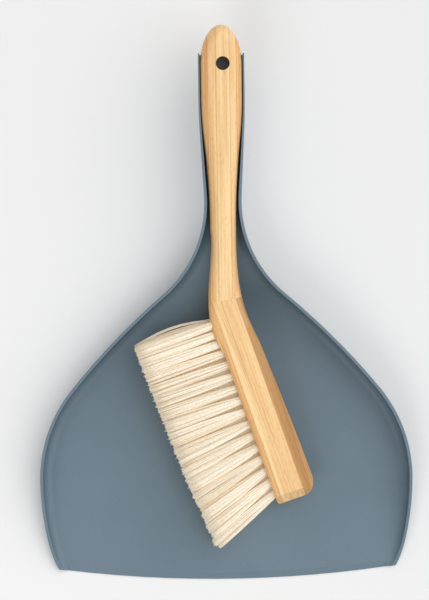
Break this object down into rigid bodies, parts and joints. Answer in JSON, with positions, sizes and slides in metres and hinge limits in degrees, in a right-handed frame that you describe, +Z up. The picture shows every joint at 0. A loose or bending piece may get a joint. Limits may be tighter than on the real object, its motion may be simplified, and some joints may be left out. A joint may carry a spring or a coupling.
{
  "type": "dust pan and brush set",
  "caption": "Wide plastic dust pan with a channel handle and a cranked bamboo hand brush that lies in it, bristles to one side.",
  "frame": {"origin": "on the floor under the middle of the set's bounding box", "axes": "+Y towards the handle, along the set's longest extent; +Z up, the shortest extent; +X to the right with the pan's mouth towards the viewer"},
  "size_m": [0.2358, 0.3494, 0.0481],
  "materials": {
    "pan_plastic": "satin moulded",
    "handle_bamboo": "smooth laminated bamboo, clear lacquer",
    "block_bamboo": "smooth laminated bamboo, clear lacquer",
    "dowel_wood": "raw",
    "staple_wire": "drawn wire",
    "bristle": "matte fibre"
  },
  "bodies": {
    "pan": {"dust_pan": "pan_plastic"},
    "brush": {"brush_handle": "handle_bamboo", "brush_block": "block_bamboo", "joint_dowel": "dowel_wood", "tuft_staples": "staple_wire", "tuft_lower_01": "bristle", "tuft_lower_02": "bristle", "tuft_lower_03": "bristle", "tuft_lower_04": "bristle", "tuft_lower_05": "bristle", "tuft_lower_06": "bristle", "tuft_lower_07": "bristle", "tuft_lower_08": "bristle", "tuft_lower_09": "bristle", "tuft_lower_10": "bristle", "tuft_lower_11": "bristle", "tuft_lower_12": "bristle", "tuft_lower_13": "bristle", "tuft_lower_14": "bristle", "tuft_lower_15": "bristle", "tuft_lower_16": "bristle", "tuft_middle_01": "bristle", "tuft_middle_02": "bristle", "tuft_middle_03": "bristle", "tuft_middle_04": "bristle", "tuft_middle_05": "bristle", "tuft_middle_06": "bristle", "tuft_middle_07": "bristle", "tuft_middle_08": "bristle", "tuft_middle_09": "bristle", "tuft_middle_10": "bristle", "tuft_middle_11": "bristle", "tuft_middle_12": "bristle", "tuft_upper_01": "bristle", "tuft_upper_02": "bristle", "tuft_upper_03": "bristle", "tuft_upper_04": "bristle", "tuft_upper_05": "bristle", "tuft_upper_06": "bristle", "tuft_upper_07": "bristle", "tuft_upper_08": "bristle", "tuft_upper_09": "bristle", "tuft_upper_10": "bristle", "tuft_upper_11": "bristle", "tuft_upper_12": "bristle", "tuft_upper_13": "bristle", "tuft_upper_14": "bristle", "tuft_upper_15": "bristle", "tuft_upper_16": "bristle"}
  },
  "joints": [
    {"name": "brush_lift", "type": "slide", "parent": "pan", "child": "brush", "axis": [0, 0, 1], "range_m": [0, 0.08]}
  ]
}
